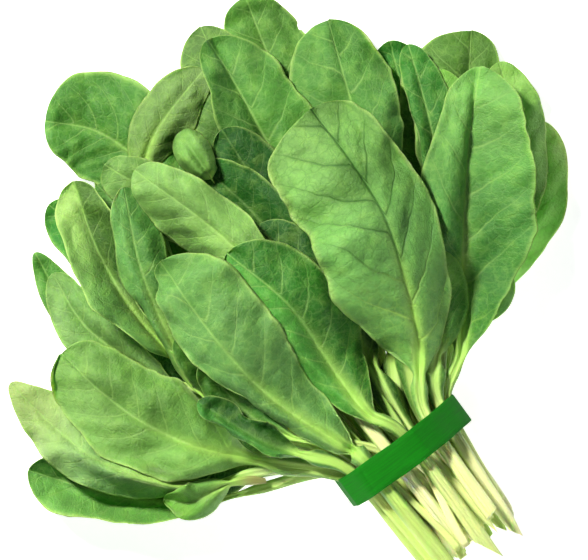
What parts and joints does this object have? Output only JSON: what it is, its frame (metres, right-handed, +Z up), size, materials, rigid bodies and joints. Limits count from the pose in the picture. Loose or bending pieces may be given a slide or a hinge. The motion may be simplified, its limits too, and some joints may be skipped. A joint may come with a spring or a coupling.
{
  "type": "spinach bunch",
  "caption": "Bunch of fresh spinach lying on its side: broad green leaves with their pale stalks, tied together near the cut ends by a flat band.",
  "frame": {"origin": "on the table under the middle of the whole bunch's box", "axes": "+Z up from the table, +Y along the bunch from the cut ends to the leaf tips, +X across it"},
  "size_m": [0.2736, 0.2658, 0.0582],
  "materials": {
    "leaf_light": "satin leaf",
    "leaf_mid": "satin leaf",
    "leaf_deep": "satin leaf",
    "leaf_yellowish": "satin leaf",
    "band": "matte"
  },
  "bodies": {
    "root": {"band": "band", "leaf_back_broad": "leaf_mid", "leaf_back_narrow": "leaf_mid", "leaf_back_sliver": "leaf_mid", "leaf_back_small": "leaf_mid", "leaf_ball": "leaf_light", "leaf_centre_big": "leaf_light", "leaf_far_round": "leaf_mid", "leaf_folded_light": "leaf_light", "leaf_front_big": "leaf_light", "leaf_inner_dark_1": "leaf_mid", "leaf_inner_dark_2": "leaf_deep", "leaf_inner_mid_1": "leaf_mid", "leaf_inner_mid_2": "leaf_light", "leaf_inner_right": "leaf_light", "leaf_left_bright": "leaf_light", "leaf_left_cup": "leaf_yellowish", "leaf_left_fold": "leaf_light", "leaf_left_lobe": "leaf_light", "leaf_left_narrow": "leaf_mid", "leaf_left_nib": "leaf_light", "leaf_left_point": "leaf_mid", "leaf_left_tip": "leaf_mid", "leaf_low_big": "leaf_light", "leaf_low_cup": "leaf_mid", "leaf_low_loose": "leaf_mid", "leaf_low_yellow": "leaf_yellowish", "leaf_mid_dark": "leaf_mid", "leaf_mid_right": "leaf_mid", "leaf_mid_small_1": "leaf_deep", "leaf_mid_small_2": "leaf_mid", "leaf_mid_small_3": "leaf_deep", "leaf_right_big": "leaf_mid", "leaf_side_far": "leaf_mid", "leaf_side_near": "leaf_light", "leaf_side_small": "leaf_light", "leaf_top_centre": "leaf_light", "leaf_top_edge": "leaf_light", "leaf_top_far": "leaf_mid", "leaf_top_left": "leaf_mid", "leaf_top_speck": "leaf_mid", "leaf_under_1": "leaf_mid", "leaf_under_2": "leaf_mid", "leaf_under_3": "leaf_mid", "leaf_under_4": "leaf_mid", "leaf_under_5": "leaf_mid"}
  },
  "joints": []
}
